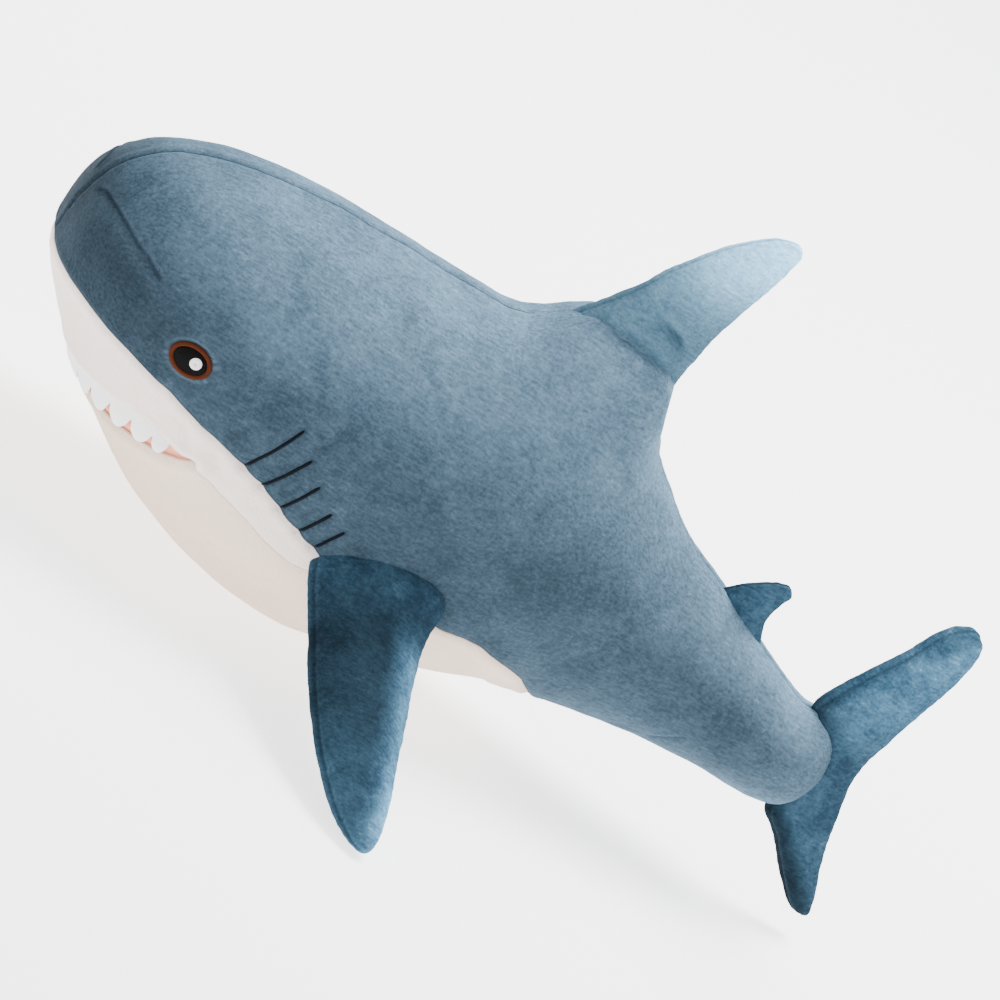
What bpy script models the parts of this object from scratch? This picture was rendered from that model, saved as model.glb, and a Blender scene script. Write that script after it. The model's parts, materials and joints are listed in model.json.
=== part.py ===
"""Plush shark lying on its belly, in metres: nose towards -X, its left side towards -Y, +Z up.

Lengths below are millimetres along x from the nose, and z above or below the body's middle line.
The skin is a set of sewn panels over stuffing. Every panel is cut from one smooth body surface,
S(t, angle): t runs down the station table from nose to tail, and angle turns round the section
from -90 (under the belly) by 0 (left side) and 90 (back) to 180 (right side).
"""

import bpy
import bmesh
import numpy as np

MM = 0.001
BODY_CENTRE_X = 403.0
FLOOR = -136.0
SKIN = 2.0
SEAM_GAP = 0.6
STUFFING_DEPTH = 4.6
BACK_RIDGE = 0.14
HINGE_GAP = 2.2
FIN_SKIN = 1.25
TURNED = [0, 3, 2, 1]

# x, top, bottom, half width
BODY_STATIONS = np.array([
    (0, 46, 46, 0),
    (5, 84, 12, 46),
    (20, 111, -10, 76),
    (45, 132, -34, 98),
    (90, 150, -69, 117),
    (144, 160, -102, 127),
    (200, 164, -126, 131),
    (260, 166, -141, 132),
    (315, 169, -143, 130),
    (365, 175, -134, 122),
    (412, 168, -122, 110),
    (455, 150, -108, 95),
    (500, 122, -89, 78),
    (545, 92, -76, 65),
    (595, 70, -66, 54),
    (645, 50, -60, 45),
    (690, 29, -57, 37),
    (708, 26, -55, 35),
    (726, 20, -49, 30),
    (738, 6.5, -35.5, 18),
    (743, -14.5, -14.5, 0),
], float)
LAST = len(BODY_STATIONS) - 1.0

# x, z of the lines where panels meet
SIDE_SEAM = [(0, 15), (30, 15), (55, 12.5), (80, 12), (112, 10), (143, 4), (170, -1), (198, -5),
             (218, -10.5), (242, -19), (264, -26), (280, -32), (302, -37), (340, -41), (380, -42),
             (410, -41), (430, -39), (450, -42), (476, -49), (496, -58), (512, -72), (526, -92)]
UPPER_LIP = [(50, -48), (62, -46), (73, -42), (90, -34), (106, -29), (125, -29), (143, -30), (168, -31)]
LOWER_LIP = [(66, -62), (80, -61), (100, -59), (116, -56), (136, -46), (150, -39), (168, -32)]
JAW_SEAM = [(168, -32), (195, -36), (221, -42), (250, -49), (278, -55), (290, -52), (302, -38)]
MOUTH_CORNER_X = 168.0
PECTORAL_SEAM_X = 302.0

EYE_X, EYE_Z = 114.0, 41.0
EYE_RADII = (19.5, 14.0)
PUPIL_RADII = (14.3, 9.6)
HIGHLIGHT_RADIUS = 4.8
GILL_WIDTH = 3.2
# x, z of the lower and the upper end
GILLS = [(199, -4, 217, 46), (219, -10, 236, 30), (242, -17, 254, 16), (265, -24, 275, 2), (284, -26, 292, -5)]
TEETH_PER_SIDE = 8
TOOTH_DROP = 14.0

PECTORAL_FRONT = np.array((288.0, -121.0, -48.0))
PECTORAL_REAR = np.array((398.0, -109.0, -30.0))
PECTORAL_SPAN = np.array((0.162, -0.910, -0.382))
# along the root, out from the root, of the leading and the trailing edge, then half thickness
PECTORAL_RIBS = [(-56, 0, 56, 0, 1.5), (-53, 26, 47, 26, 15), (-47, 60, 43, 60, 19), (-40, 115, 40, 115, 18),
                 (-28, 168, 37, 168, 15), (-12, 208, 34, 208, 10), (4, 232, 30, 232, 5.5), (13, 242, 26, 242, 2.5)]
TAIL_HINGE = (708.0, 0.0, -14.5)
# x, z of the leading and the trailing edge, then half thickness
DORSAL_RIBS = [(352, 177, 484, 132, 1.5), (367, 204, 466, 162, 13), (385, 241, 459, 198, 15), (399, 274, 458, 236, 13),
               (416, 304, 463, 274, 10.5), (438, 330, 469, 307, 7.5), (453, 341, 472, 324, 4.5), (461, 342, 472, 333, 2.5)]
REAR_DORSAL_RIBS = [(588, 74, 636, 54, 1.2), (601, 86, 632, 70, 6), (615, 98, 633, 86, 5), (626, 105, 635, 97, 2.2)]
TAIL_RIBS = [(767, 156, 778, 148, 2.5), (755, 154, 781, 131, 6.5), (744, 142, 778, 104, 9.5), (732, 112, 772, 76, 12),
             (716, 76, 768, 48, 13), (703, 39, 765, 26, 11), (724, 30, 764, 16, 9), (738, 17, 764, 6, 8),
             (747, -3, 765, -4, 7), (747, -26, 769, -18, 7), (738, -46, 776, -38, 9), (724, -59, 782, -56, 10),
             (741, -71, 788, -71, 10.5), (761, -91, 797, -90, 8.5), (780, -109, 804, -106, 5.5), (792, -117, 805, -116, 2.5)]


def spline(rows, t):
    """Catmull-Rom curve through evenly numbered rows, its end slopes taken from the end rows."""
    rows = np.asarray(rows, float)
    ends = np.vstack([2 * rows[0] - rows[1], rows, 2 * rows[-1] - rows[-2]])
    t = np.clip(np.asarray(t, float), 0, len(rows) - 1 - 1e-9)
    i = np.floor(t).astype(int)
    f = (t - i)[..., None]
    a, b, c, d = ends[i], ends[i + 1], ends[i + 2], ends[i + 3]
    return b + 0.5 * f * (c - a + f * (2 * a - 5 * b + 4 * c - d + f * (3 * (b - c) + d - a)))


def station(t):
    """x, top, bottom, half width at t. Rows mirrored past each end make the ends round."""
    flip = np.array([[1, 0, 0, 0], [0, 0, 1, 0], [0, 1, 0, 0], [0, 0, 0, -1]])
    rows = np.vstack([BODY_STATIONS[1] @ flip, BODY_STATIONS, BODY_STATIONS[-2] @ flip])
    values = spline(rows, np.clip(np.asarray(t, float), 0, LAST) + 1)
    return values[..., 0], values[..., 1], values[..., 2], values[..., 3]


def body_surface(t, angle):
    t, angle = np.broadcast_arrays(np.asarray(t, float), np.radians(np.asarray(angle, float)))
    x, top, bottom, half_width = station(t)
    up = np.sin(angle)
    y = -half_width * np.cos(angle) * (1 - BACK_RIDGE * np.maximum(up, 0) ** 2)
    return np.stack([x, y, (top + bottom) / 2 + (top - bottom) / 2 * up], -1)


def body_normal(t, angle):
    t = np.clip(t, 0.02, LAST - 0.02)
    along = body_surface(t + 0.01, angle) - body_surface(t - 0.01, angle)
    around = body_surface(t, np.asarray(angle) + 0.5) - body_surface(t, np.asarray(angle) - 0.5)
    normal = np.cross(along, around)
    return normal / np.linalg.norm(normal, axis=-1, keepdims=True)


def body_point(t, angle, depth):
    """A point this far under the surface, above the flat that the belly rests on."""
    t, angle = np.broadcast_arrays(t, angle)
    point = body_surface(t, angle) - depth * body_normal(t, angle)
    point[..., 2] = np.maximum(point[..., 2], FLOOR + max(depth, 0))
    return point


def t_at_x(x):
    t = np.linspace(0, LAST, 4001)
    return np.interp(x, station(t)[0], t)


def angle_at_height(t, z):
    x, top, bottom, half_width = station(t)
    return np.degrees(np.arcsin(np.clip((z - (top + bottom) / 2) / (top - bottom) * 2, -1, 1)))


def height_on(line, t):
    rows = np.array(line, float)
    return np.interp(station(t)[0], rows[:, 0], rows[:, 1])


def t_where_line_meets_belly(line, low, high):
    """t between low and high where the line's height reaches the bottom of the body."""
    t = np.linspace(low, high, 2001)
    over = height_on(line, t) - station(t)[2]
    return np.interp(0, over, t) if over[0] < over[-1] else np.interp(0, -over, t)


def placed(points):
    """Metres in the part's own frame: the origin is under the middle of the whole shark."""
    return (np.asarray(points, float) - (BODY_CENTRE_X, 0, FLOOR)) * MM


def add_hinge(name, point):
    """An empty on a fin's hinge line, which carries that fin's pieces."""
    empty = bpy.data.objects.new(name, None)
    empty.location = placed(point)
    collection.objects.link(empty)
    return empty


def add_object(name, points, faces, colour, hinge=None):
    mesh = bpy.data.meshes.new(name)
    points = placed(points) - (np.array(hinge.location) if hinge else 0)
    mesh.from_pydata([tuple(p) for p in points], [], [tuple(f) for f in faces])
    mesh.shade_smooth()
    mesh.set_sharp_from_angle(angle=np.radians(50))
    made = bpy.data.objects.new(name, mesh)
    made.parent = hinge
    material = bpy.data.materials.new(name)
    material.use_nodes = True
    shader = material.node_tree.nodes["Principled BSDF"]
    shader.inputs["Base Color"].default_value = (*colour, 1)
    shader.inputs["Roughness"].default_value = 0.9
    mesh.materials.append(material)
    collection.objects.link(made)
    return made


def grid_solid(name, outer, inner, colour, ring=False, hinge=None):
    """A closed solid between two grids of points, rows by columns, turned so that its faces look out."""
    rows, columns = outer.shape[:2]
    index = np.arange(rows * columns).reshape(rows, columns)
    count = rows * columns
    wrapped = np.vstack([index, index[:1]]) if ring else index
    quads = np.stack([wrapped[:-1, :-1], wrapped[1:, :-1], wrapped[1:, 1:], wrapped[:-1, 1:]], -1).reshape(-1, 4)
    if ring:
        rims = [wrapped[:, 0], wrapped[::-1, -1]]
    else:
        rims = [np.concatenate([index[:, 0], index[-1, 1:], index[-2::-1, -1], index[0, -2::-1]])]
    walls = [np.stack([r[1:], r[:-1], r[:-1] + count, r[1:] + count], -1) for r in rims]
    faces = np.vstack([quads, quads[:, TURNED] + count] + walls)
    points = np.vstack([outer.reshape(-1, 3), inner.reshape(-1, 3)])
    corners = points[faces]
    facing = np.cross(corners[:, 2] - corners[:, 0], corners[:, 3] - corners[:, 1])
    if (facing * corners.mean(1)).sum() < 0:
        faces = faces[:, TURNED]
    return add_object(name, points, faces, colour, hinge)


def mirrored(grid):
    return grid * (1, -1, 1)


def sewn_pair(name, outer, inner, colour, ring=False):
    grid_solid(name + "_left", outer, inner, colour, ring)
    grid_solid(name + "_right", mirrored(outer), mirrored(inner), colour, ring)


def u_strip(upper_t, upper_angle, lower_t, lower_angle, columns):
    """t and angle over a strip that runs from one side round the front to the other; left half only."""
    across = np.linspace(0, 1, columns)
    t = lower_t[:, None] + (upper_t - lower_t)[:, None] * across
    angle = lower_angle[:, None] + (upper_angle - lower_angle)[:, None] * across
    return t, angle


def u_solid(name, t, angle, outer_depth, inner_depth, colour):
    grids = []
    for depth in (outer_depth, inner_depth):
        left = body_point(t, angle, depth)
        left[0, :, 1] = 0
        right = (left * (1, -1, 1))[:0:-1]
        grids.append(np.vstack([right, left]))
    return grid_solid(name, grids[0], grids[1], colour)


def side_point(x, z, outset):
    t = t_at_x(x)
    return body_point(t, angle_at_height(t, z), -outset)


def disc(x, z, radii, outset, steps=7):
    """A square grid rounded into an ellipse on the left side of the head."""
    u, v = np.meshgrid(np.linspace(-1, 1, steps), np.linspace(-1, 1, steps), indexing="ij")
    across, up = u * np.sqrt(1 - v * v / 2), v * np.sqrt(1 - u * u / 2)
    return side_point(x + radii[0] * across, z + radii[1] * up, outset)


def fin_grid(ribs, rows, columns):
    """Middle-plane coordinates and half thickness over a fin: rows root to tip, columns front to back."""
    r = np.linspace(0, len(ribs) - 1, rows)
    v = (1 - np.cos(np.linspace(0, np.pi, columns))) / 2
    values = spline(ribs, r)
    lead, trail = values[:, None, 0:2], values[:, None, 2:4]
    flat = lead + (trail - lead) * v[:, None]
    thick = values[:, 4:5] * np.sin(np.pi * np.arange(columns) / (columns - 1))
    return r, flat, thick


def fin_solids(prefix, names, place, flat, thick, hinge_point):
    """Two skins and the stuffing between them. place(flat, offset) gives the point this far off the middle plane."""
    hinge = add_hinge(prefix + "_hinge", hinge_point)
    outer, inner = thick + 0.15 + FIN_SKIN, thick + 0.15
    for name, side in zip(names, (1, -1)):
        grid_solid(prefix + name, place(flat, side * outer), place(flat, side * inner), FIN_BLUE, hinge=hinge)
    core, half = flat[1:-1, 1:-1], thick[1:-1, 1:-1] - 0.35
    grid_solid(prefix + "_stuffing", place(core, half), place(core, -half), STUFFING_COLOUR, hinge=hinge)


for old in list(bpy.data.objects):
    bpy.data.objects.remove(old)
collection = bpy.data.collections.new("plush_shark")
bpy.context.scene.collection.children.link(collection)

BLUE = (0.17, 0.25, 0.33)
FIN_BLUE = (0.10, 0.17, 0.24)
WHITE = (0.80, 0.74, 0.71)
PINK = (0.80, 0.50, 0.43)
FELT_WHITE = (0.85, 0.83, 0.84)
RING_BROWN = (0.30, 0.08, 0.03)
BLACK = (0.01, 0.01, 0.012)
THREAD = (0.012, 0.02, 0.03)
STUFFING_COLOUR = (0.85, 0.85, 0.83)

# rows of the side panels share their t with the panels that meet them, so that each seam gap stays even
nose_t = t_where_line_meets_belly(SIDE_SEAM, 0.3, 2.0)
tail_t = t_where_line_meets_belly(SIDE_SEAM, 11.0, 13.5)
corner_t = t_at_x(MOUTH_CORNER_X)
round_front = np.linspace(0, 1, 12) ** 1.7
cheek_t = np.linspace(corner_t, t_at_x(PECTORAL_SEAM_X - 6), 9)[1:]
strip_t = np.append(nose_t + (corner_t - nose_t) * round_front, cheek_t)
rear_seam_t = tail_t - (tail_t - t_at_x(PECTORAL_SEAM_X)) * np.linspace(1, 0, 13) ** 1.5
side_t = np.concatenate([
    np.linspace(0.02, nose_t, 4)[:-1] ** 1.0,
    strip_t,
    rear_seam_t,
    np.linspace(tail_t, LAST - 0.02, 17)[1:],
])

# blue side panels
half_width = np.maximum(station(side_t)[3], 0.2)
slit = np.minimum(np.degrees(SEAM_GAP / 2 / half_width), 25)
low = angle_at_height(side_t, height_on(SIDE_SEAM, side_t) + SEAM_GAP / 2)
low = np.where((side_t > tail_t - 1e-6) | (side_t < nose_t), -90, low)
low = np.maximum(low, -90 + slit)
angle = low[:, None] + (90 - slit - low)[:, None] * np.linspace(0, 1, 10)
sewn_pair("side_panel", body_point(side_t[:, None], angle, 0), body_point(side_t[:, None], angle, SKIN), BLUE)

# white strip over the mouth, from one pectoral fin round the snout to the other
upper_t = strip_t.copy()
upper_t[0] = np.interp(0, height_on(SIDE_SEAM, strip_t[:4]) - SEAM_GAP / 2 - station(strip_t[:4])[2], strip_t[:4])
upper_angle = angle_at_height(upper_t, height_on(SIDE_SEAM, upper_t) - SEAM_GAP / 2)
upper_angle[0] = -90
lip_t = t_where_line_meets_belly(UPPER_LIP, 2.5, 4.2)
strip_low = UPPER_LIP[:-1] + JAW_SEAM
lower_t = np.append(lip_t + (corner_t - lip_t) * round_front, cheek_t)
lower_angle = angle_at_height(lower_t, height_on(strip_low, lower_t) + SEAM_GAP / 2)
lower_angle[0] = -90
t, angle = u_strip(upper_t, upper_angle, lower_t, lower_angle, 6)
u_solid("upper_jaw_panel", t, angle, 0, SKIN, WHITE)

# mouth lining, between the lips
chin_t = t_where_line_meets_belly(LOWER_LIP, 3.3, 4.6)
lens = np.linspace(0, 1, 13) ** 1.6
lens_end_t = t_at_x(MOUTH_CORNER_X - 13)
top_t = lip_t + 0.02 + (lens_end_t - lip_t) * lens
low_t = chin_t + (lens_end_t - chin_t) * lens
top_angle = angle_at_height(top_t, height_on(UPPER_LIP, top_t) - SEAM_GAP)
low_angle = angle_at_height(low_t, height_on(LOWER_LIP, low_t) + SEAM_GAP)
low_t[0] -= 0.02
top_angle[0] = low_angle[0] = -90
t, angle = u_strip(top_t, top_angle, low_t, low_angle, 4)
u_solid("mouth_lining", t, angle, 0.7, 2.5, PINK)

# felt teeth under the upper lip
fine = lip_t + (t_at_x(MOUTH_CORNER_X - 30) - lip_t) * np.linspace(0, 1, 400) ** 2
fine_angle = angle_at_height(fine, height_on(UPPER_LIP, fine))
fine_points = body_surface(fine, fine_angle)
arc = np.concatenate([[0], np.cumsum(np.linalg.norm(np.diff(fine_points, axis=0), axis=1))])
where = np.linspace(0, arc[-1], TEETH_PER_SIDE * 4 + 1)
tooth_t, tooth_angle = np.interp(where, arc, fine), np.interp(where, arc, fine_angle)
shape = np.array([0.22, 0.66, 1.0, 0.66])
drop = TOOTH_DROP * np.append(np.tile(shape, TEETH_PER_SIDE), shape[0])
reach = (tooth_t - lip_t) / (corner_t - lip_t)
toward_t = chin_t + (corner_t - chin_t) * reach
toward_angle = angle_at_height(toward_t, height_on(LOWER_LIP, toward_t))
far = np.linalg.norm(body_surface(toward_t, toward_angle) - body_surface(tooth_t, tooth_angle), axis=1)
steps = np.stack([np.full(len(drop), -1.2), 0.45 * drop, drop], 1)[:, ::-1] / far[:, None]
t = tooth_t[:, None] + (toward_t - tooth_t)[:, None] * steps
angle = tooth_angle[:, None] + (toward_angle - tooth_angle)[:, None] * steps
u_solid("upper_teeth", t, angle, -2.2, -0.6, FELT_WHITE)

# white lower jaw and belly in one panel, ending in a point behind the pectoral fins
chin_part = chin_t + 0.03 + (corner_t - chin_t - 0.03) * round_front
belly_t = np.concatenate([chin_part, cheek_t, rear_seam_t[:-1], [tail_t - 0.02]])
belly_line = LOWER_LIP[:-1] + JAW_SEAM[:-1] + [p for p in SIDE_SEAM if p[0] >= PECTORAL_SEAM_X]
edge = angle_at_height(belly_t, height_on(belly_line, belly_t) - SEAM_GAP / 2)
edge[-1] = -89.4
across = np.linspace(-1, 1, 13)
angle = -90 + (edge + 90)[:, None] * across
grid_solid("belly_panel", body_point(belly_t[:, None], angle, 0), body_point(belly_t[:, None], angle, SKIN), WHITE)

# body stuffing, a sphere drawn onto the body surface
ball = bmesh.new()
bmesh.ops.create_uvsphere(ball, u_segments=36, v_segments=38, radius=1)
ball_points = np.array([v.co for v in ball.verts])
ball_faces = [[v.index for v in f.verts] for f in ball.faces]
ball.free()
ball_t = np.clip(LAST * np.arccos(np.clip(ball_points[:, 2], -1, 1)) / np.pi, 0.06, LAST - 0.06)
ball_angle = np.degrees(np.arctan2(ball_points[:, 1], ball_points[:, 0]))
stuffing = add_object("body_stuffing", body_point(ball_t, ball_angle, STUFFING_DEPTH), ball_faces, STUFFING_COLOUR)

# eyes and embroidered gills
turn = np.linspace(0, 2 * np.pi, 25)[:-1]
for outset, name in ((1.5, "outer"), (0.3, "inner")):
    radius = np.stack([EYE_RADII, PUPIL_RADII], 0) + np.array([[0, 0], [0.3, 0.3]])
    ring = side_point(
        EYE_X + np.cos(turn)[:, None] * radius[None, :, 0],
        EYE_Z + np.sin(turn)[:, None] * radius[None, :, 1],
        outset,
    )
    if name == "outer":
        ring_outer = ring
    else:
        ring_inner = ring
sewn_pair("eye_ring", ring_outer, ring_inner, RING_BROWN, ring=True)
pupil = [disc(EYE_X, EYE_Z, PUPIL_RADII, outset) for outset in (1.9, 0.3)]
sewn_pair("eye_pupil", pupil[0], pupil[1], BLACK)
highlight = [disc(EYE_X + 4.5, EYE_Z + 1, (HIGHLIGHT_RADIUS,) * 2, outset, 5) for outset in (3.1, 2.3)]
sewn_pair("eye_highlight", highlight[0], highlight[1], FELT_WHITE)
for number, (x0, z0, x1, z1) in enumerate(GILLS, 1):
    along = np.linspace(0, 1, 6)[:, None]
    length = np.hypot(x1 - x0, z1 - z0)
    across = np.linspace(-1, 1, 3) * GILL_WIDTH / 2 * (1 - 0.35 * np.abs(2 * along - 1) ** 4)
    x = x0 + (x1 - x0) * along + across * (z1 - z0) / length
    z = z0 + (z1 - z0) * along - across * (x1 - x0) / length
    left = [side_point(x, z, outset) for outset in (1.4, 0.3)]
    for side, grids in (("left", left), ("right", [mirrored(g) for g in left])):
        grid_solid(f"gill_{side}_{number}", grids[0], grids[1], THREAD)

# pectoral fins, flapping about the line along their root
root_middle = (PECTORAL_FRONT + PECTORAL_REAR) / 2
root_line = (PECTORAL_REAR - PECTORAL_FRONT) / np.linalg.norm(PECTORAL_REAR - PECTORAL_FRONT)
span = PECTORAL_SPAN - root_line * (PECTORAL_SPAN @ root_line)
span /= np.linalg.norm(span)
fin_up = np.cross(span, root_line)
r, flat, thick = fin_grid(PECTORAL_RIBS, 13, 8)
flat[..., 1] += np.maximum(1 - r[:, None], 0) * (HINGE_GAP + 4.5 * (1 - (flat[..., 0] / 56) ** 2))
for side, sign in (("left", 1), ("right", -1)):
    def place(flat, offset, sign=sign):
        point = root_middle + flat[..., :1] * root_line + flat[..., 1:] * span + offset[..., None] * fin_up
        return point * (1, sign, 1)
    fin_solids("pectoral_" + side, ("_top_panel", "_bottom_panel"), place, flat, thick, root_middle * (1, sign, 1))


def upright(flat, offset):
    return np.stack([flat[..., 0], -offset, flat[..., 1]], -1)


# dorsal fins, each standing on the back
for prefix, ribs, rows in (("dorsal_fin", DORSAL_RIBS, 13), ("rear_dorsal_fin", REAR_DORSAL_RIBS, 6)):
    r, flat, thick = fin_grid(ribs, rows, 8)
    back = station(t_at_x(flat[..., 0]))[1] + HINGE_GAP
    flat[..., 1] += np.maximum(1 - r[:, None], 0) * (back - flat[..., 1])
    root_x, root_z = (np.array(ribs[0][0:2]) + ribs[0][2:4]) / 2
    fin_solids(prefix, ("_left_panel", "_right_panel"), upright, flat, thick, (root_x, 0, root_z))

# tail fin, its front edge hollowed round the end of the body
r, flat, thick = fin_grid(TAIL_RIBS, 25, 7)
fin_solids("tail_fin", ("_left_panel", "_right_panel"), upright, flat, thick, TAIL_HINGE)
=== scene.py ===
# %% [markdown]
# # A stuffed plush shark
# The toy is a bag of sewn plush panels filled with loose fibre. The imported CAD model gives its pieces, joints and
# sizes, and this lesson dresses that model: every panel is made again at full smoothness, with its seams, folds,
# embroidery and short pile. The skin, mouth and embroidery ride on the same bodies; the fins are made in place and are
# not attached to a body.

# %% Load the imported model
import json
import bpy
import numpy as np
from mathutils import Matrix, Vector

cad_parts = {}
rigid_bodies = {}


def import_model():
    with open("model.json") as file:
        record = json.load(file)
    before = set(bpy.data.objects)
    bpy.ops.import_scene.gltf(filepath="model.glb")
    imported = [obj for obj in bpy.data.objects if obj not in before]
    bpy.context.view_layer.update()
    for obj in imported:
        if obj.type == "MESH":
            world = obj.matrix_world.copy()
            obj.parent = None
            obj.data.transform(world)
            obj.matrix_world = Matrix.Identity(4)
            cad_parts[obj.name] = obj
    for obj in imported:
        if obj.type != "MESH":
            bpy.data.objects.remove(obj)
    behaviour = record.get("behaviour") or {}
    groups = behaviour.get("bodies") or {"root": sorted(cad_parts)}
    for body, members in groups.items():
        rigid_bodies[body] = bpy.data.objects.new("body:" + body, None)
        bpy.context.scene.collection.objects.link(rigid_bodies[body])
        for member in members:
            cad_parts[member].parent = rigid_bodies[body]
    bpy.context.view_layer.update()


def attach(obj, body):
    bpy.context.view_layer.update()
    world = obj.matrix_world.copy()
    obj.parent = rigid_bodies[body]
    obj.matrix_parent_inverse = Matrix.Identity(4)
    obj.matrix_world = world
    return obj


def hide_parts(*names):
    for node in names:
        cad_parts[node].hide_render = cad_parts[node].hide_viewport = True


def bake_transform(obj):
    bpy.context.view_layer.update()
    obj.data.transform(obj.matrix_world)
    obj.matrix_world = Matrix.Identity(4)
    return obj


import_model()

# %% [markdown]
# ## Measures
# All shapes are worked out in millimetres: x from the nose, y to the shark's right, z above the
# body's middle line. One function turns them into the frame's metres at the very end.

# %% Measures of the body
# These start from the CAD model's. The dressed surface then leaves them: the back is drawn in more, the
# tail stock is fuller on top, the lower lip lies lower, and the cloth stands off in collars at the fins,
# by up to about 23 mm at the dorsal fin.
MM = 0.001
BODY_CENTRE_X, FLOOR = 403.0, -136.0
BACK_RIDGE = 0.21
# x, top, bottom, half width
BODY_STATIONS = np.array([
    (0, 46, 46, 0), (5, 84, 12, 46), (20, 111, -10, 76), (45, 132, -34, 98), (90, 150, -69, 117),
    (144, 160, -102, 127), (200, 164, -126, 131), (260, 166, -141, 132), (315, 169, -143, 130),
    (365, 175, -134, 122), (412, 168, -122, 110), (455, 150, -108, 95), (500, 122, -89, 78),
    (545, 92, -76, 65), (595, 72, -66, 54), (645, 50.5, -60, 45), (690, 32, -57, 37),
    (708, 31, -55, 35), (726, 25, -49, 30), (738, 10, -35.5, 18), (743, -14.5, -14.5, 0),
], float)
LAST = len(BODY_STATIONS) - 1.0
# x, z of the lines where panels meet
SIDE_SEAM = [(0, 15), (30, 15), (55, 12.5), (80, 12), (112, 10), (143, 4), (170, -1), (198, -5),
             (218, -10.5), (242, -19), (264, -26), (280, -32), (302, -37), (340, -41), (380, -42),
             (410, -41), (430, -39), (450, -42), (476, -49), (496, -58), (512, -72), (526, -92)]
UPPER_LIP = [(50, -48), (62, -46), (73, -42), (90, -34), (106, -29), (125, -29), (143, -30), (168, -31)]
LOWER_LIP = [(66, -62), (80, -61), (100, -59), (116, -56), (136, -48), (150, -42.5), (160, -37.5), (168, -32)]
JAW_SEAM = [(168, -32), (195, -36), (221, -42), (250, -49), (278, -55), (290, -52), (302, -38)]
MOUTH_CORNER_X, PECTORAL_SEAM_X = 168.0, 302.0
EYE_X, EYE_Z = 114.0, 41.0
EYE_RADII, PUPIL_RADII = (18.7, 13.9), (14.0, 9.6)
# x, z of the lower and the upper end
GILLS = [(198, -5, 217, 46), (218, -11, 236, 30), (241, -18, 254, 16), (264, -26, 275, 2),
         (282, -30, 292, -5)]

# %% [markdown]
# ## The body as one smooth surface
# A body this round has no flat side to draw on, so it is one surface S(t, angle). t runs down a table
# of stations from nose to tail, and angle turns round the section. Each panel is a patch of it, and two
# patches that share a line of (t, angle) meet exactly, as sewn edges do.

# %% The body surface


def spline(rows, t):
    """Catmull-Rom curve: a cubic through evenly numbered rows, whose slope at each row is half the
    difference of its two neighbours."""
    rows = np.asarray(rows, float)
    ends = np.vstack([2 * rows[0] - rows[1], rows, 2 * rows[-1] - rows[-2]])
    t = np.clip(np.asarray(t, float), 0, len(rows) - 1 - 1e-9)
    i = np.floor(t).astype(int)
    f = (t - i)[..., None]
    a, b, c, d = ends[i], ends[i + 1], ends[i + 2], ends[i + 3]
    return b + 0.5 * f * (c - a + f * (2 * a - 5 * b + 4 * c - d + f * (3 * (b - c) + d - a)))


def station(t):
    """x, top, bottom and half width at t. Rows mirrored past each end make the ends round."""
    flip = np.array([[1, 0, 0, 0], [0, 0, 1, 0], [0, 1, 0, 0], [0, 0, 0, -1]])
    rows = np.vstack([BODY_STATIONS[1] @ flip, BODY_STATIONS, BODY_STATIONS[-2] @ flip])
    values = spline(rows, np.clip(np.asarray(t, float), 0, LAST) + 1)
    return values[..., 0], values[..., 1], values[..., 2], values[..., 3]


def body_surface(t, angle):
    """y is minus the half width times the cosine, drawn in towards the back; z is the middle height plus
    half the height times the sine. Angle -90 is the belly, 0 the left side and 90 the back."""
    t, angle = np.broadcast_arrays(np.asarray(t, float), np.radians(np.asarray(angle, float)))
    x, top, bottom, half_width = station(t)
    up = np.sin(angle)
    y = -half_width * np.cos(angle) * (1 - BACK_RIDGE * np.maximum(up, 0) ** 2)
    return np.stack([x, y, (top + bottom) / 2 + (top - bottom) / 2 * up], -1)


def body_normal(t, angle):
    """The cross product of the surface's two slopes, eased to straight ahead at nose and tail."""
    t, angle = np.broadcast_arrays(np.asarray(t, float), np.asarray(angle, float))
    inside = np.clip(t, 0.02, LAST - 0.02)
    along = body_surface(inside + 0.01, angle) - body_surface(inside - 0.01, angle)
    around = body_surface(inside, angle + 0.5) - body_surface(inside, angle - 0.5)
    normal = np.cross(along, around)
    normal /= np.linalg.norm(normal, axis=-1, keepdims=True)
    ease = np.clip(np.minimum(t, LAST - t) / 0.15, 0, 1)[..., None]
    ahead = np.where((t < LAST / 2)[..., None], (-1.0, 0, 0), (1.0, 0, 0))
    normal = normal * ease + ahead * (1 - ease)
    return normal / np.linalg.norm(normal, axis=-1, keepdims=True)


def t_at_x(x):
    t = np.linspace(0, LAST, 8001)
    return np.interp(x, station(t)[0], t)


def angle_at_height(t, z):
    """The arcsine of the height above the middle, over half the section's height."""
    x, top, bottom, half_width = station(t)
    return np.degrees(np.arcsin(np.clip((z - (top + bottom) / 2) / (top - bottom) * 2, -1, 1)))


def height_on(line, t):
    """Height of a seam line at t. A slow wave keeps it from looking ruled, as hand-fed cloth does."""
    rows = np.array(line, float)
    x = station(t)[0]
    wave = 0.45 * np.sin(x / 8.5) + 0.25 * np.sin(x / 3.7 + 1)
    middle = np.clip((x - 60) / 60, 0, 1) * np.clip((500 - x) / 30, 0, 1)
    return np.interp(x, rows[:, 0], rows[:, 1]) + wave * middle


def t_where_line_meets_belly(line, low, high):
    """t between low and high where the line's height reaches the bottom of the body."""
    t = np.linspace(low, high, 4001)
    over = height_on(line, t) - station(t)[2]
    return np.interp(0, over, t) if over[0] < over[-1] else np.interp(0, -over, t)


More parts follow.
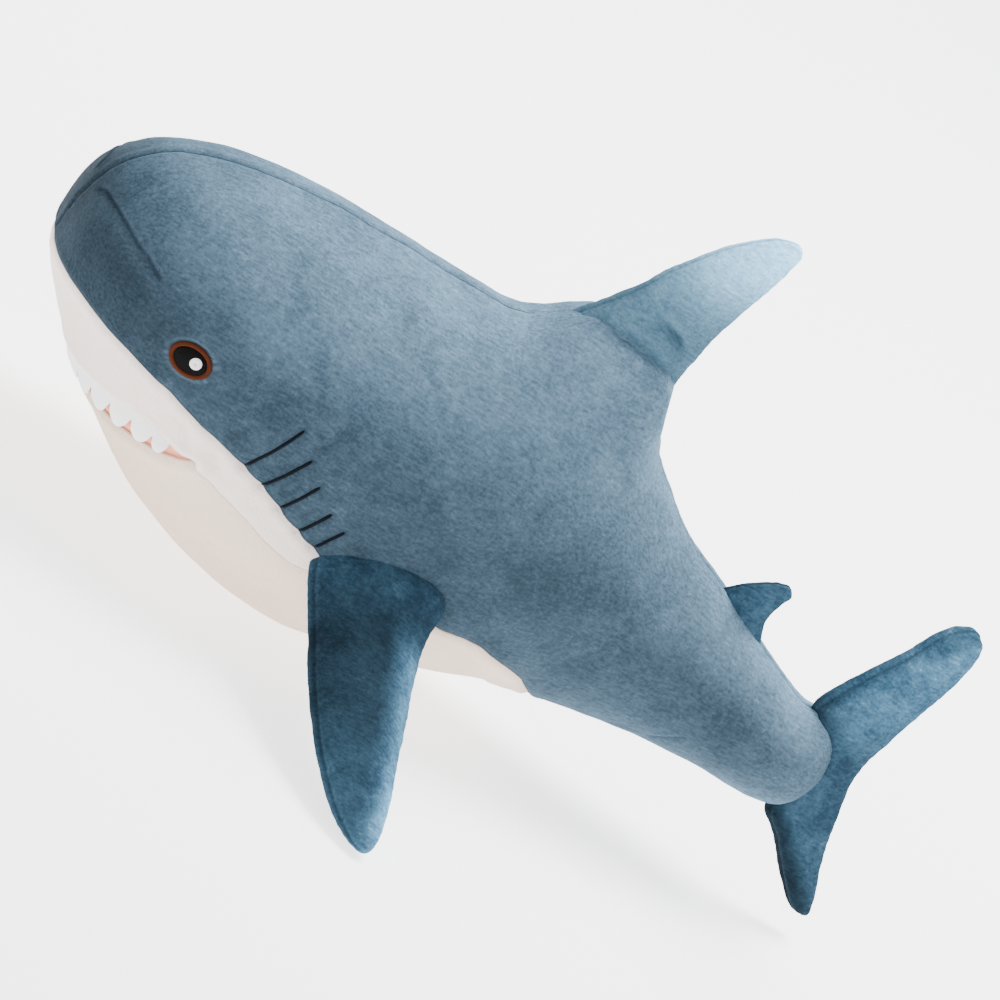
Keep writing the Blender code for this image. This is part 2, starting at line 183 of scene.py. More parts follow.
nose_t = t_where_line_meets_belly(SIDE_SEAM, 0.3, 2.0)
tail_t = t_where_line_meets_belly(SIDE_SEAM, 11.0, 13.5)
lip_t = t_where_line_meets_belly(UPPER_LIP, 2.5, 4.2)
chin_t = t_where_line_meets_belly(LOWER_LIP, 3.3, 4.6)
corner_t, fin_seam_t = t_at_x(MOUTH_CORNER_X), t_at_x(PECTORAL_SEAM_X)
print("side seam passes under the snout at x", station(nose_t)[0], "and ends at x", station(tail_t)[0])

# %% [markdown]
# ## Folds, seams and lumps
# Stuffed cloth is never as smooth as its pattern. Loose fibre leaves slow lumps, a seam pulls the cloth into a groove
# with small puckers beside it, and a crease is a groove that fades at both ends. All of these are heights above the
# smooth surface, worked out from the distance to a line, and the seams and creases also get painted shade in their
# grooves.

# %% Distance to a line, and smooth noise


def evenly(points, step=1.3):
    """The same line with samples this many millimetres apart."""
    points = np.asarray(points, float)
    arc = np.concatenate([[0], np.cumsum(np.linalg.norm(np.diff(points, axis=0), axis=1))])
    where = np.linspace(0, arc[-1], max(int(arc[-1] / step), 2) + 1)
    return np.stack([np.interp(where, arc, points[:, k]) for k in range(3)], -1)


def distance_to(points, line, within=32.0):
    """How far each point is from a line, and how far along the line: from the nearest sample, less the
    part of the gap that runs along the line there."""
    flat = points.reshape(-1, 3)
    step = np.linalg.norm(line[1] - line[0])
    tangent = np.gradient(line, axis=0)
    tangent /= np.linalg.norm(tangent, axis=1, keepdims=True)
    distance, along = np.full(len(flat), 999.0), np.zeros(len(flat))
    near = np.flatnonzero(((flat > line.min(0) - within) & (flat < line.max(0) + within)).all(1))
    for part in np.array_split(near, len(near) // 4000 + 1):
        gap = flat[part, None] - line
        k = (gap**2).sum(-1).argmin(1)
        nearest = gap[np.arange(len(part)), k]
        slide = np.clip((nearest * tangent[k]).sum(-1), -step, step)
        distance[part] = np.linalg.norm(nearest - slide[:, None] * tangent[k], axis=1)
        along[part] = k * step + slide
    return distance.reshape(points.shape[:-1]), along.reshape(points.shape[:-1])


def lumps(points, size, seed):
    """Noise from -1 to 1: random values on a cubic grid this many millimetres apart, blended in each
    cell by 3f squared less 2f cubed."""
    table = np.random.default_rng(seed).uniform(-1, 1, (24, 24, 24))
    place = points / size + 7.3 * seed
    cell = np.floor(place).astype(int)
    f = place - cell
    f = f * f * (3 - 2 * f)
    total = 0
    for corner in np.ndindex(2, 2, 2):
        weight = np.where(corner, f, 1 - f).prod(-1)
        k = (cell + corner) % 24
        total = total + weight * table[k[..., 0], k[..., 1], k[..., 2]]
    return total


def fold_at(points, fold):
    """Height and painted shade that one fold gives: a groove shaped as a bell curve of the distance, a low ridge beside
    it, and puckers that wave along it and die away from it. The painted shade darkens the groove's middle, where shade
    falls."""
    line, depth, width, fades, pucker, shade = fold
    distance, along = distance_to(points, line)
    length = np.linalg.norm(line[1] - line[0]) * (len(line) - 1)
    taper = np.clip(np.minimum(along, length - along) / (0.3 * length), 0, 1) ** 0.7 if fades else 1.0
    bell = np.exp(-((distance / width) ** 2))
    ridge = 0.35 * depth * np.exp(-(((distance - 2.6 * width) / (1.5 * width)) ** 2))
    waves = np.sin(along / 1.9 + 2.5 * np.sin(along / 11)) * np.exp(-distance / 8) * (1 - bell)
    # Painted shade: darkest along the middle of the groove.
    dark = shade * taper * np.exp(-((distance / (0.6 * width)) ** 2))
    return taper * (ridge - depth * bell) + pucker * waves, dark


print("sample distance:", distance_to(np.array([[0.0, 3, 0]]), evenly([(-9, 0, 0), (9, 0, 0)]))[0])

# %% The body's seams and creases


def on_side(points):
    """Points on the shark's left side at these x and z."""
    x, z = np.asarray(points, float).T[:2]
    t = t_at_x(x)
    return body_surface(t, angle_at_height(t, z))


def seam_line(line, start_t, end_t):
    t = start_t + (end_t - start_t) * np.linspace(0, 1, 500) ** 1.6
    return evenly(body_surface(t, angle_at_height(t, height_on(line, t))))


back_t = np.linspace(0.01, LAST - 0.05, 900)
back_seam = evenly(body_surface(back_t, 90))
chin_seam = evenly(body_surface(np.linspace(0.01, nose_t, 60), -90))
rear_belly_seam = evenly(body_surface(np.linspace(tail_t, LAST - 0.05, 300), -90))
front_seam, rear_seam = seam_line(SIDE_SEAM, nose_t, fin_seam_t), seam_line(SIDE_SEAM, tail_t, fin_seam_t)
side_seam = evenly(np.vstack([front_seam, rear_seam[::-1]]))
upper_lip = seam_line(UPPER_LIP, lip_t, corner_t)
lower_lip = seam_line(LOWER_LIP, chin_t, corner_t)
jaw_seam = evenly(on_side(JAW_SEAM))

snout_dart = evenly(on_side([(4, 75), (5, 77.5), (6, 79.5), (8, 81), (11, 82), (15, 83), (20, 83), (27, 82.5),
                             (35, 81), (47, 79), (60, 75)]))
dorsal_crease = evenly([(358, -20, 203), (372, -21, 209), (389, -21, 211), (412, -21, 209), (432, -20, 204)])
collar_crease = evenly([(398, -32, 200), (410, -32, 199), (424, -32, 197), (443, -31, 194)])
# line, depth in mm, half width in mm, whether it fades at its ends, height of the puckers, darkness of the painted
# shade in the groove
BODY_FOLDS = [
    (back_seam, 1.6, 2.6, False, 0.28, 0.9),
    (chin_seam, 1.3, 2.4, False, 0.1, 0.8),
    (rear_belly_seam, 1.3, 2.4, False, 0.2, 0.8),
    (side_seam, 1.5, 2.6, False, 0.25, 0.45),
    (upper_lip, 1.7, 2.4, False, 0.05, 0.5),
    (lower_lip, 2.4, 3.4, False, 0.05, 0.3),
    (jaw_seam, 0.35, 3.4, False, 0.03, 0.03),
    (snout_dart, 1.5, 1.9, False, 0.1, 0.7),
    (evenly(on_side([(140, 1), (147, -10), (160, -26)])), 1.3, 5.0, True, 0, 0.12),
    (evenly(on_side([(168, -1), (176, -12), (190, -28)])), 1.3, 5.0, True, 0, 0.12),
    (evenly(on_side([(186, 30), (178, 16), (172, 4)])), 1.2, 4.5, True, 0, 0.4),
    (evenly(on_side([(212, 2), (220, 14), (226, 22)])), 1.3, 4.5, True, 0, 0.45),
    (evenly(on_side([(233, 34), (242, 52), (247, 66)])), 1.2, 5.0, True, 0, 0.4),
    (evenly(on_side([(234, -8), (241, 3), (245, 10)])), 1.2, 4.0, True, 0, 0.4),
    (evenly(on_side([(256, -14), (262, -4), (265, 2)])), 1.1, 4.0, True, 0, 0.4),
    (evenly(on_side([(604, -53), (612, -46), (623, -35), (634, -25)])), 1.6, 2.6, True, 0, 0.7),
    (evenly(on_side([(575, -58), (588, -55), (602, -50)])), 1.1, 3.0, True, 0, 0.4),
    (evenly(on_side([(400, 161), (406, 158), (411, 156)])), 1.0, 2.2, True, 0, 0.5),
    (dorsal_crease, 3.4, 3.4, True, 0, 0.9),
    (collar_crease, 3.0, 3.4, True, 0, 0.9),
]
for x_low, z_low, x_high, z_high in GILLS:
    BODY_FOLDS.append((evenly(on_side([(x_low, z_low), (x_high, z_high)])), 1.6, 4.0, False, 0.3, 0.6))
print("folds drawn on the body:", len(BODY_FOLDS))

# %% Height of the plush over the smooth body


def eye_distance(points):
    """1 on the embroidered ring's outer edge, 0 at its middle."""
    return np.hypot((points[..., 0] - EYE_X) / EYE_RADII[0], (points[..., 2] - EYE_Z) / EYE_RADII[1])


def body_relief(points, folds):
    """Lumps plus folds, in millimetres. Folds are drawn on the left and mirrored; lumps are not."""
    left = points * (1, 0, 1) - np.abs(points[..., 1:2]) * (0, 1, 0)
    height = 1.5 * lumps(points, 66, 1) + 0.75 * lumps(points, 31, 2) + 0.28 * lumps(points, 13, 3)
    dark = np.zeros(points.shape[:-1])
    for fold in folds:
        lift, shade = fold_at(left, fold)
        height, dark = height + lift, np.maximum(dark, shade)
    ring = np.where(left[..., 1] < -60, eye_distance(left), 9.0)
    height -= 1.3 * np.exp(-(((ring - 1.06) / 0.15) ** 2)) + 0.8 * (ring < 1)
    return height, dark, np.exp(-(((ring - 1.07) / 0.06) ** 2))


def eased(value):
    """3v squared less 2v cubed, held between 0 and 1."""
    value = np.clip(value, 0, 1)
    return value * value * (3 - 2 * value)


# x, z of the line that the cloth is drawn up to where the dorsal fin is sewn in
DORSAL_COLLAR = [(316, 169), (332, 173.5), (346, 183), (358, 195), (372, 205), (400, 210), (426, 207),
                 (445, 202), (456, 192), (463, 175), (472, 153), (484, 135), (498, 123)]


def dorsal_rise(points):
    """How far the cloth is drawn up round the dorsal fin: the collar's height over the back, times an
    eased step down from its rim to the flank."""
    x, y = points[..., 0], np.abs(points[..., 1])
    collar = np.array(DORSAL_COLLAR, float)
    rim = np.interp(x, collar[:, 0], collar[:, 1]) - station(t_at_x(x))[1]
    rim = np.where((x > collar[0, 0]) & (x < collar[-1, 0]), np.maximum(rim, 0), 0)
    return rim * eased((60 - y) / 40)


def blue_painted_light(points, normal):
    """How light the pile looks, in stops, as painted light and shade: paler where it faces up, where light and sheen
    fall; darker on the snout, which faces away from the light and whose pile stands up; paler again under the tail as
    painted sheen; and paler on the tail stock."""
    x = points[..., 0]
    up = eased((normal[..., 2] - 0.08) / 0.86)
    under = eased((-normal[..., 2] - 0.25) / 0.6) * eased((x - 380) / 160)
    snout = np.exp(-((x / 95) ** 2))
    return 1.7 * up - 0.4 + 0.8 * under - 1.1 * snout * (1 - 0.5 * up) + 0.65 * eased((x - 665) / 65)


def white_painted_under_shade(normal):
    """Painted shade: the white pile is darker where it faces down, under the toy where it lies on the floor."""
    return -0.35 * eased((-normal[..., 2] - 0.45) / 0.5)


def settle(points):
    """The belly lies on the floor: heights under it are eased up to it, as k log(1 + exp(height/k))."""
    ease = 2.2
    z = points[..., 2] - FLOOR
    return np.concatenate([points[..., :2], (FLOOR + ease * np.logaddexp(0, z / ease))[..., None]], -1)


def plush(t, angle, outset=0.0):
    """A point of the finished skin, its normal, and the two shades painted on it."""
    t, angle = np.broadcast_arrays(np.asarray(t, float), np.asarray(angle, float))
    base, normal = body_surface(t, angle), body_normal(t, angle)
    base[..., 2] += dorsal_rise(base)
    height, dark, halo = body_relief(base, BODY_FOLDS)
    return settle(base + (height + outset)[..., None] * normal), normal, dark, halo


# %% [markdown]
# ## Making meshes
# Every piece is a closed shell: a grid of points for its outside, closed by its inside or by wrapping
# round. One function places it in the frame, turns its faces outwards and smooths it.

# %% Mesh helpers


def placed(points):
    """Metres in the frame: its origin is on the floor under the middle of the shark."""
    return (np.asarray(points, float) - (BODY_CENTRE_X, 0, FLOOR)) * MM


def make_piece(name, points, quads, caps, material, shades=None, uv=None):
    """Builds a closed mesh. The sum of face area times outward distance tells if it is inside out."""
    points = placed(points).reshape(-1, 3)
    corners = points[quads]
    area = np.cross(corners[:, 2] - corners[:, 0], corners[:, 3] - corners[:, 1])
    inside_out = (area * (corners.mean(1) - points.mean(0))).sum() < 0
    faces = quads.tolist() + [list(map(int, cap)) for cap in caps]
    if inside_out:
        faces = [face[::-1] for face in faces]
    mesh = bpy.data.meshes.new(name)
    mesh.from_pydata(points, [], faces)
    for label, values in (shades or {}).items():
        layer = mesh.attributes.new(label, "FLOAT", "POINT")
        layer.data.foreach_set("value", np.ravel(values).astype(np.float32))
    if uv is not None:
        loops = np.empty(len(mesh.loops), np.int32)
        mesh.loops.foreach_get("vertex_index", loops)
        layer = mesh.uv_layers.new(name="thread")
        layer.uv.foreach_set("vector", uv.reshape(-1, 2)[loops].astype(np.float32).ravel())
    mesh.shade_smooth()
    mesh.materials.append(material)
    piece = bpy.data.objects.new(name, mesh)
    bpy.context.scene.collection.objects.link(piece)
    print(f"{name}: {len(points)} points, {len(faces)} faces")
    return piece


def grid_quads(index):
    return np.stack([index[:-1, :-1], index[1:, :-1], index[1:, 1:], index[:-1, 1:]], -1).reshape(-1, 4)


def panel_piece(name, outer, normal, material, shades, thick=4.0, inner_columns=12):
    """A panel with its backing: the outside grid, a coarser one under it, and walls between their rims.
    The walls are the seam allowances, which the neighbouring panel's walls lie against."""
    rows, columns = outer.shape[:2]
    pick = np.unique(np.round(np.linspace(0, columns - 1, inner_columns)).astype(int))
    inner = outer[:, pick] - thick * normal[:, pick]
    inner[..., 2] = np.maximum(inner[..., 2], FLOOR + 1.0)
    front = np.arange(rows * columns).reshape(rows, columns)
    back = np.arange(rows * len(pick)).reshape(rows, len(pick)) + rows * columns
    walls = [grid_quads(np.stack([back[:, 0], front[:, 0]], 1)),
             grid_quads(np.stack([front[:, -1], back[:, -1]], 1))]
    quads = np.vstack([grid_quads(front), grid_quads(back[:, ::-1])] + walls)
    caps = [np.concatenate([front[0], back[0, ::-1]]), np.concatenate([front[-1, ::-1], back[-1]])]
    points = np.vstack([outer.reshape(-1, 3), inner.reshape(-1, 3)])
    padded = {k: np.concatenate([np.ravel(v), np.ravel(v[:, pick])]) for k, v in shades.items()}
    return make_piece(name, points, quads, caps, material, padded)


def ring_piece(name, grid, material, shades=None, uv=None, closed_path=False):
    """A tube or pillow: each row of the grid is a closed ring, and the two end rings are capped."""
    rows, around = grid.shape[:2]
    index = np.arange(rows * around).reshape(rows, around)
    index = np.hstack([index, index[:, :1]])
    caps = [] if closed_path else [index[0, :-1], index[-1, :-1][::-1]]
    if closed_path:
        index = np.vstack([index, index[:1]])
    return make_piece(name, grid.reshape(-1, 3), grid_quads(index), caps, material, shades, uv)


# %% [markdown]
# ## Materials
# The skin is short-pile polyester plush: a brushed knit whose 2 to 3 mm pile lies in patches, so it is mottled, and it
# glows at grazing angles. Painted shade darkens its seams and creases, and painted light and shade make it paler where
# it faces the light. The teeth are pressed felt, and the eyes and gills are satin-stitch embroidery in soft rayon
# thread.

# %% Colour and node helpers


def linear(code):
    """A hex colour as linear light: each channel c is c/12.92 below 0.04045, else ((c+0.055)/1.055)^2.4."""
    c = np.array([int(code[k:k + 2], 16) for k in (1, 3, 5)]) / 255
    return (*np.where(c < 0.04045, c / 12.92, ((c + 0.055) / 1.055) ** 2.4).tolist(), 1.0)


def new_material(name):
    material = bpy.data.materials.new(name)
    material.use_nodes = True
    return material, material.node_tree, material.node_tree.nodes["Principled BSDF"]


def add(tree, kind, links=None, **settings):
    """One node. settings sets its properties; links gives each input, by name or number, a value or
    another node's output."""
    made = tree.nodes.new(kind)
    for key, value in settings.items():
        setattr(made, key, value)
    for key, value in (links or {}).items():
        if isinstance(value, bpy.types.NodeSocket):
            tree.links.new(value, made.inputs[key])
        else:
            made.inputs[key].default_value = value
    return made


def ramp_stops(ramp, stops):
    """Sets a Color Ramp's stops from (place, hex colour) pairs."""
    elements = ramp.color_ramp.elements
    while len(elements) < len(stops):
        elements.new(1.0)
    for element, (place, code) in zip(elements, stops):
        element.position, element.color = place, linear(code)


# %% Short-pile plush


def plush_material(name, stops, fold_shade_colour, halo, pile_mm=2.4, sheen=0.35, streak=0.2, mottle=0.3, patch=0.25):
    """Brushed polyester pile. Its colour follows a sum of noises: slow patches where the pile lies one way or the
    other, mottling, the grain of single tufts, and fine streaks along the nap. On top of this come painted shade in the
    folds and seams, a paler ring of rubbed pile from the rub attribute, and painted light and shade from the tone
    attribute, in stops."""
    material, tree, shader = new_material(name)
    place = add(tree, "ShaderNodeTexCoord").outputs["Object"]
    along_nap = add(tree, "ShaderNodeMapping", {"Vector": place, "Rotation": (0, 0.3, 0),
                                                     "Scale": (1, 3.2, 3.2)})
    grain = add(tree, "ShaderNodeTexNoise", {"Vector": place, "Scale": 1 / (pile_mm * MM), "Detail": 3.0,
                                                "Roughness": 0.6})
    streaks = add(tree, "ShaderNodeTexNoise", {"Vector": along_nap.outputs[0], "Scale": 1 / (7.5 * MM),
                                                  "Detail": 3.0})
    mottled = add(tree, "ShaderNodeTexNoise", {"Vector": place, "Scale": 1 / (9 * MM), "Detail": 3.0,
                                                  "Distortion": 0.7})
    patches = add(tree, "ShaderNodeTexNoise", {"Vector": place, "Scale": 1 / (48 * MM), "Detail": 2.0,
                                                  "Distortion": 0.4})
    total = 0.5 - (streak + mottle + patch + 0.3) / 2
    for noise, share in ((grain, 0.3), (streaks, streak), (mottled, mottle), (patches, patch)):
        scaled = add(tree, "ShaderNodeMath", {0: noise.outputs["Fac"], 1: share, 2: total},
                     operation="MULTIPLY_ADD")
        total = scaled.outputs[0]
    colour = add(tree, "ShaderNodeValToRGB", {"Fac": total})
    ramp_stops(colour, stops)
    # Painted shade: the fold attribute mixes the darker fold shade colour into seams and creases, where shade falls.
    fold = add(tree, "ShaderNodeAttribute", attribute_name="fold")
    folds = add(tree, "ShaderNodeMath", {0: fold.outputs["Fac"], 1: 0.75}, operation="MULTIPLY")
    mixed = add(tree, "ShaderNodeMix", {"Factor": folds.outputs[0], 6: colour.outputs[0],
                                          7: linear(fold_shade_colour)}, data_type="RGBA")
    rubbed = add(tree, "ShaderNodeAttribute", attribute_name="rub")
    mixed = add(tree, "ShaderNodeMix", {"Factor": rubbed.outputs["Fac"], 6: mixed.outputs[2],
                                          7: linear(halo)}, data_type="RGBA")
    # Painted light and shade: the tone attribute, in stops, scales the colour by two to its power.
    tone = add(tree, "ShaderNodeAttribute", attribute_name="tone")
    gain = add(tree, "ShaderNodeMath", {0: 2.0, 1: tone.outputs["Fac"]}, operation="POWER")
    toned = add(tree, "ShaderNodeVectorMath", {0: mixed.outputs[2], "Scale": gain.outputs[0]},
                operation="SCALE")
    tree.links.new(toned.outputs[0], shader.inputs["Base Color"])
    tufts = add(tree, "ShaderNodeMath", {0: grain.outputs["Fac"], 1: streaks.outputs["Fac"]}, operation="ADD")
    bump = add(tree, "ShaderNodeBump", {"Height": tufts.outputs[0], "Strength": 0.55, "Distance": 1.1 * MM})
    tree.links.new(bump.outputs[0], shader.inputs["Normal"])
    rough = add(tree, "ShaderNodeMapRange", {"Value": grain.outputs["Fac"], "To Min": 0.78, "To Max": 0.95})
    tree.links.new(rough.outputs[0], shader.inputs["Roughness"])
    shader.inputs["IOR"].default_value = 1.46
    shader.inputs["Specular IOR Level"].default_value = 0.06
    shader.inputs["Sheen Weight"].default_value = sheen
    shader.inputs["Sheen Roughness"].default_value = 0.45
    shader.inputs["Sheen Tint"].default_value = linear(halo)
    return material


BLUE_PLUSH = plush_material(
    "short_pile_plush_slate_blue",
    [(0.2, "#1e2931"), (0.42, "#31414d"), (0.58, "#445766"), (0.8, "#5f778a")], "#131d26", "#7793a6", sheen=0.08,
    streak=0.3, mottle=0.15, patch=0.26)
FIN_PLUSH = plush_material(
    "short_pile_plush_teal_blue",
    [(0.2, "#0d1820"), (0.42, "#1b2f3d"), (0.60, "#2c4555"), (0.82, "#557182")], "#0a1218", "#64757e",
    streak=0.26, mottle=0.26, patch=0.42, sheen=0.08)
# A paler copy of the blue plush for the dorsal fin: its lighter colours are painted light on the fin.
LIT_PALE_PLUSH = plush_material(
    "short_pile_plush_lit_pale_blue",
    [(0.2, "#223542"), (0.42, "#365060"), (0.58, "#4a6575"), (0.8, "#6c8997")], "#182833", "#8aa3af",
    streak=0.28, mottle=0.14, patch=0.2, sheen=0.1)
WHITE_PLUSH = plush_material(
    "short_pile_plush_warm_white",
    [(0.15, "#d0b49f"), (0.40, "#e2cab8"), (0.60, "#ead5c5"), (0.85, "#f2e3d6")], "#b89b88", "#f7f2f0",
    sheen=0.1, streak=0.1, mottle=0.2, patch=0.15)
STRIP_PLUSH = plush_material(
    "short_pile_plush_clean_white",
    [(0.15, "#d6c4bc"), (0.40, "#e7d8d1"), (0.60, "#eee1db"), (0.85, "#f5ece8")], "#c4aea2", "#f7f2f0",
    sheen=0.1, streak=0.1, mottle=0.2, patch=0.15)
PINK_PLUSH = plush_material(
    "flat_knit_lining_peach_pink",
    [(0.2, "#db8a70"), (0.5, "#f0a389"), (0.8, "#f7bba6")], "#b86a52", "#f2c4b3", pile_mm=1.4,
    sheen=0.1, streak=0.05)
print("plush finishes:", [m.name for m in (BLUE_PLUSH, FIN_PLUSH, WHITE_PLUSH, PINK_PLUSH)])

# %% Felt and embroidery thread


def felt_material():
    """Pressed wool-type felt: no pile or weave, only matted fibres under a millimetre across."""
    material, tree, shader = new_material("pressed_felt_cool_white")
    place = add(tree, "ShaderNodeTexCoord").outputs["Object"]
    fibres = add(tree, "ShaderNodeTexNoise", {"Vector": place, "Scale": 1 / (1.1 * MM), "Detail": 4.0,
                                                 "Distortion": 1.5})
    colour = add(tree, "ShaderNodeValToRGB", {"Fac": fibres.outputs["Fac"]})
    ramp_stops(colour, [(0.25, "#e3dedd"), (0.6, "#f4f1f0"), (0.8, "#fbfafa")])
    bump = add(tree, "ShaderNodeBump", {"Height": fibres.outputs["Fac"], "Strength": 0.4,
                                          "Distance": 0.4 * MM})
    tree.links.new(colour.outputs[0], shader.inputs["Base Color"])
    tree.links.new(bump.outputs[0], shader.inputs["Normal"])
    shader.inputs["Roughness"].default_value = 0.92
    shader.inputs["Sheen Weight"].default_value = 0.15
    return material


THREAD_UV = 0.007  # 0.7 mm between threads, on a map whose unit is 100 mm


def thread_material(name, dark, light, roughness):
    """Satin stitch: parallel threads, here 0.7 mm apart, laid across the shape along the UV map's
    second direction. Light catches the round top of each thread and is lost between two."""
    material, tree, shader = new_material(name)
    uv = add(tree, "ShaderNodeUVMap", uv_map="thread").outputs[0]
    wave = add(tree, "ShaderNodeTexWave", {"Vector": uv, "Scale": np.pi / 10 / THREAD_UV, "Distortion": 0.6,
                                           "Detail": 2.0}, wave_type="BANDS", bands_direction="X")
    colour = add(tree, "ShaderNodeValToRGB", {"Fac": wave.outputs["Fac"]})
    ramp_stops(colour, [(0.1, dark), (0.75, light)])
    bump = add(tree, "ShaderNodeBump", {"Height": wave.outputs["Fac"], "Strength": 0.5, "Distance": 0.3 * MM})
    tree.links.new(colour.outputs[0], shader.inputs["Base Color"])
    tree.links.new(bump.outputs[0], shader.inputs["Normal"])
    shader.inputs["Roughness"].default_value = roughness
    shader.inputs["Specular IOR Level"].default_value = 0.06
    shader.inputs["Anisotropic"].default_value = 0.5
    return material


WHITE_FELT = felt_material()
RING_THREAD = thread_material("satin_stitch_rayon_rust_brown", "#260f07", "#552611", 0.55)
PUPIL_THREAD = thread_material("satin_stitch_rayon_black", "#020101", "#070606", 0.6)
GLINT_THREAD = thread_material("satin_stitch_rayon_white", "#cfc8c6", "#fbf9f8", 0.5)
GILL_THREAD = thread_material("satin_stitch_rayon_dark_navy", "#030609", "#0c1219", 0.6)

# %% [markdown]
# ## The blue side panels
# Two mirrored panels of blue plush are sewn along the back and down the snout. Each is one grid from the
# seam with the white cloth up to the back. Its rows are shared with the panels below it.

# %% Blue side panels
front_t = nose_t + (corner_t - nose_t) * np.linspace(0, 1, 116) ** 1.7
cheek_t = np.linspace(corner_t, fin_seam_t, 78)[1:]
strip_t = np.append(front_t, cheek_t)
rear_t = tail_t - (tail_t - fin_seam_t) * np.linspace(1, 0, 130) ** 1.5
stock_t = np.linspace(tail_t, LAST - 0.01, 130)[1:]
side_t = np.concatenate([np.linspace(0.012, nose_t, 12)[:-1], strip_t, rear_t[1:], stock_t])

low = angle_at_height(side_t, height_on(SIDE_SEAM, side_t))
low = np.where((side_t > tail_t - 1e-6) | (side_t < nose_t + 1e-6), -90, low)
side_angle = low[:, None] + (90 - low)[:, None] * np.linspace(0, 1, 150)


def mirror(points):
    return points * (1, -1, 1)


def side_panel(name, angle):
    points, normal, dark, halo = plush(side_t[:, None], angle)
    points[:, -1, 1] = 0
    points[low == -90, 0, 1] = 0
    return panel_piece(name, points, normal, BLUE_PLUSH,
                       {"fold": dark, "rub": 0.4 * halo, "tone": blue_painted_light(points, normal)})


side_left = side_panel("side_cover_left", side_angle)
side_right = side_panel("side_cover_right", 180 - side_angle)

# %% [markdown]
# ## The white panels and the mouth
# A white strip runs over the mouth from fin to fin, and one white panel makes the lower jaw and belly.
# The lining lies a few millimetres behind the lips, deepest halfway between them.

# %% White strip over the mouth


def both_sides(t, angle):
    """A strip given on the left side, carried round the front to the right."""
    return np.vstack([t[:0:-1], t]), np.vstack([180 - angle[:0:-1], angle])


def strip(upper_t, upper_angle, lower_t, lower_angle, columns):
    across = np.linspace(0, 1, columns)
    t = lower_t[:, None] + (upper_t - lower_t)[:, None] * across
    angle = lower_angle[:, None] + (upper_angle - lower_angle)[:, None] * across
    return both_sides(t, angle)


upper_angle = angle_at_height(strip_t, height_on(SIDE_SEAM, strip_t))
upper_angle[0] = -90
strip_low = UPPER_LIP[:-1] + JAW_SEAM
lower_t = np.append(lip_t + (corner_t - lip_t) * np.linspace(0, 1, 116) ** 1.7, cheek_t)
lower_angle = angle_at_height(lower_t, height_on(strip_low, lower_t))
lower_angle[0] = -90
t, angle = strip(strip_t, upper_angle, lower_t, lower_angle, 42)
points, normal, dark, halo = plush(t, angle)
upper_jaw = panel_piece("upper_jaw_cover", points, normal, STRIP_PLUSH,
                        {"fold": dark, "rub": 0 * dark, "tone": white_painted_under_shade(normal)}, inner_columns=5)

# %% White lower jaw and belly
chin_part = chin_t + (corner_t - chin_t) * np.linspace(0, 1, 116) ** 1.7
belly_t = np.concatenate([chin_part, cheek_t, rear_t[1:]])
belly_line = LOWER_LIP[:-1] + JAW_SEAM[:-1] + [p for p in SIDE_SEAM if p[0] >= PECTORAL_SEAM_X]
edge = angle_at_height(belly_t, height_on(belly_line, belly_t))
edge[0] = edge[-1] = -90
belly_angle = -90 + (edge + 90)[:, None] * np.linspace(-1, 1, 190)
points, normal, dark, halo = plush(belly_t[:, None], belly_angle)
belly = panel_piece("belly_cover", points, normal, WHITE_PLUSH,
                    {"fold": dark, "rub": 0 * dark, "tone": white_painted_under_shade(normal)}, thick=3.0)

# %% Mouth lining
mouth = np.linspace(0, 1, 120) ** 1.6
top_t, low_t = lip_t + (corner_t - lip_t) * mouth, chin_t + (corner_t - chin_t) * mouth
top_angle = angle_at_height(top_t, height_on(UPPER_LIP, top_t))
low_angle = angle_at_height(low_t, height_on(LOWER_LIP, low_t))
top_angle[0] = low_angle[0] = -90
t, angle = strip(top_t, top_angle, low_t, low_angle, 24)
sunk = 2.6 + 3.0 * np.sin(np.pi * np.linspace(0, 1, 24))
points, normal, dark, halo = plush(t, angle, -np.broadcast_to(sunk, t.shape))
lining = panel_piece("mouth_lining_cover", points, normal, PINK_PLUSH,
                     {"fold": 0.5 * dark, "rub": 0 * dark, "tone": 0 * dark}, 2.0, 4)

# %% [markdown]
# ## Felt teeth
# The teeth are one strip of white felt, cut in scallops and caught in the upper lip's seam. Each tooth
# is a rounded U. The strip is a flattened tube along the lip whose depth follows the scallops.

# %% Felt teeth
TOOTH_ENDS = np.array([0, 24.8, 49.7, 74.5, 99.5, 122, 143, 158])
TOOTH_REACH, FELT_THICK = 0.86, 2.2
arc_t = lip_t + (corner_t - lip_t) * np.linspace(0, 1, 900) ** 2
arc_points = body_surface(arc_t, angle_at_height(arc_t, height_on(UPPER_LIP, arc_t)))
arc = np.concatenate([[0], np.cumsum(np.linalg.norm(np.diff(arc_points, axis=0), axis=1))])
where = np.linspace(0, TOOTH_ENDS[-1], 20 * (len(TOOTH_ENDS) - 1) + 1)
tooth_t = np.interp(where, arc, arc_t)
tooth = np.clip(np.searchsorted(TOOTH_ENDS, where, side="right") - 1, 0, len(TOOTH_ENDS) - 2)
u = 2 * (where - TOOTH_ENDS[tooth]) / (TOOTH_ENDS[tooth + 1] - TOOTH_ENDS[tooth]) - 1
drop = TOOTH_REACH * (0.3 + 0.7 * np.maximum(1 - np.abs(1.06 * u) ** 2.2, 0) ** 0.75)
share = (tooth_t - lip_t) / (corner_t - lip_t)
lip_angle = angle_at_height(tooth_t, height_on(UPPER_LIP, tooth_t))
toward_t = chin_t + (corner_t - chin_t) * share
toward_angle = angle_at_height(toward_t, height_on(LOWER_LIP, toward_t))
lip_angle[0] = toward_angle[0] = -90
round_section = np.linspace(0, 2 * np.pi, 28, endpoint=False)
down = -0.1 + (drop[:, None] + 0.1) * (1 - np.cos(round_section)) / 2
